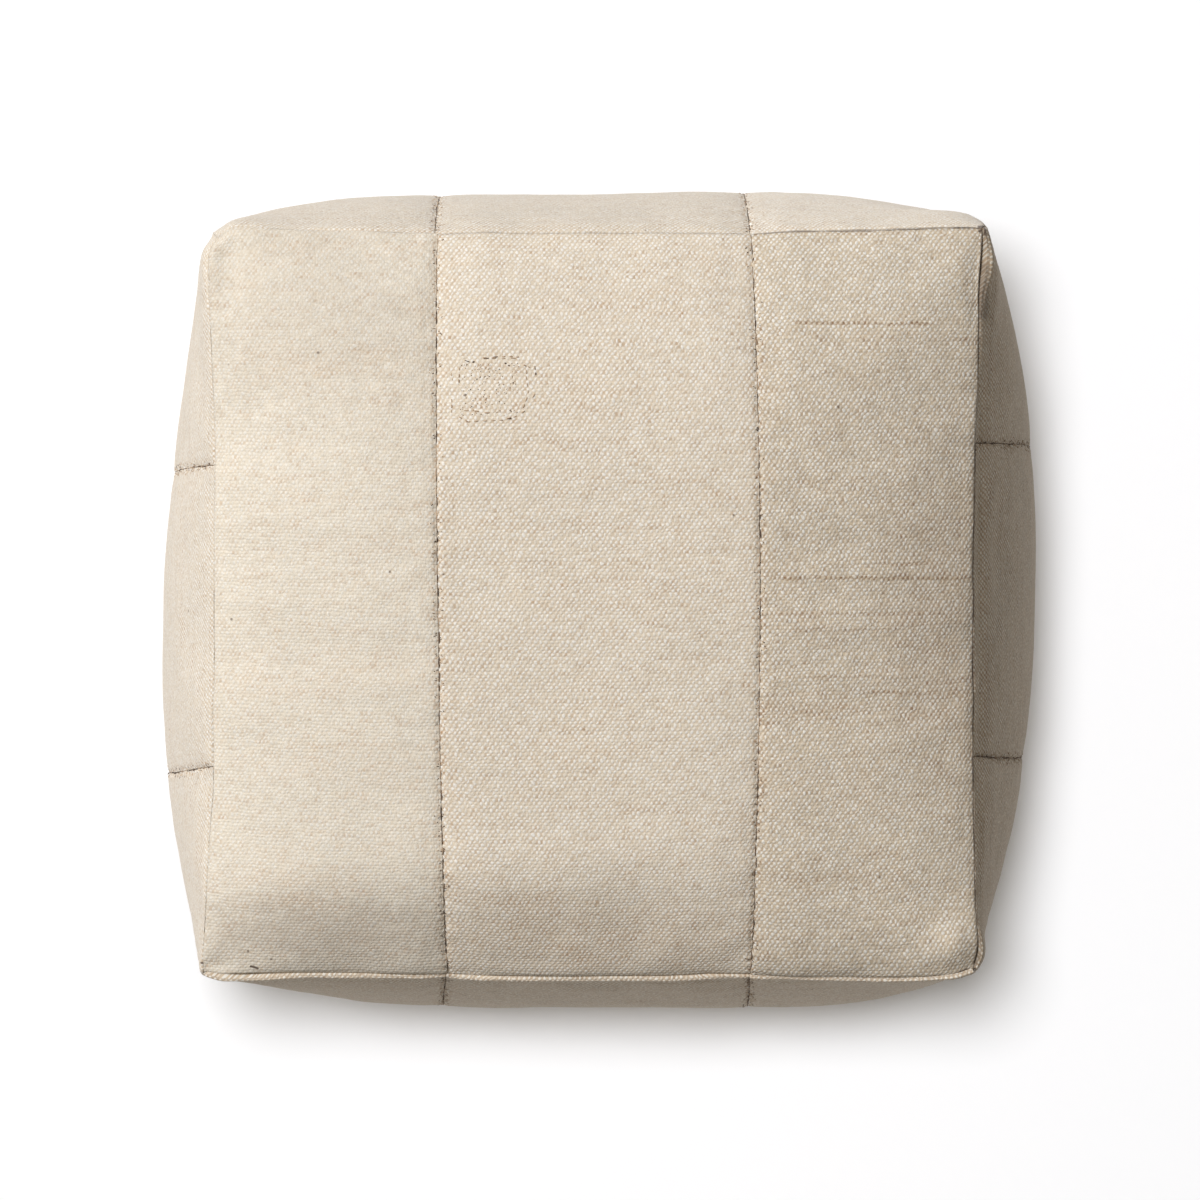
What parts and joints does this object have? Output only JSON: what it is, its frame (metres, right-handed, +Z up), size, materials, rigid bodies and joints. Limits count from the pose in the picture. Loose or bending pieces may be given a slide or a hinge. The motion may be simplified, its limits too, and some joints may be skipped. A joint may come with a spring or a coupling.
{
  "type": "cube pouf stool",
  "caption": "Soft cube-shaped floor pouf of handwoven cloth strips, packed full, with bowed sides, a crowned top and a flat base to sit or rest the feet on.",
  "frame": {"origin": "on the floor, under the middle of the pouf", "axes": "+X to the right and +Y to the back as the picture shows it from above, +Z up"},
  "size_m": [0.53, 0.4916, 0.4602],
  "materials": {
    "cream_cloth": "undyed handwoven cloth in cream, matt, with visible warp and weft and small brown slubs",
    "browned_cloth": "the same handwoven cloth, a little browner, with longer brown slubs along the weft",
    "sewing_thread": "dark brown sewing thread, matt"
  },
  "bodies": {
    "root": {"top_strip_left": "cream_cloth", "top_strip_centre": "cream_cloth", "top_strip_right": "browned_cloth", "front_strip_left": "cream_cloth", "front_strip_centre": "cream_cloth", "front_strip_right": "cream_cloth", "back_strip_left": "cream_cloth", "back_strip_centre": "cream_cloth", "back_strip_right": "cream_cloth", "left_strip_back": "cream_cloth", "left_strip_centre": "cream_cloth", "left_strip_front": "cream_cloth", "right_strip_front": "browned_cloth", "right_strip_centre": "browned_cloth", "right_strip_back": "browned_cloth", "base_strip_left": "cream_cloth", "base_strip_centre": "cream_cloth", "base_strip_right": "cream_cloth"}
  },
  "joints": []
}
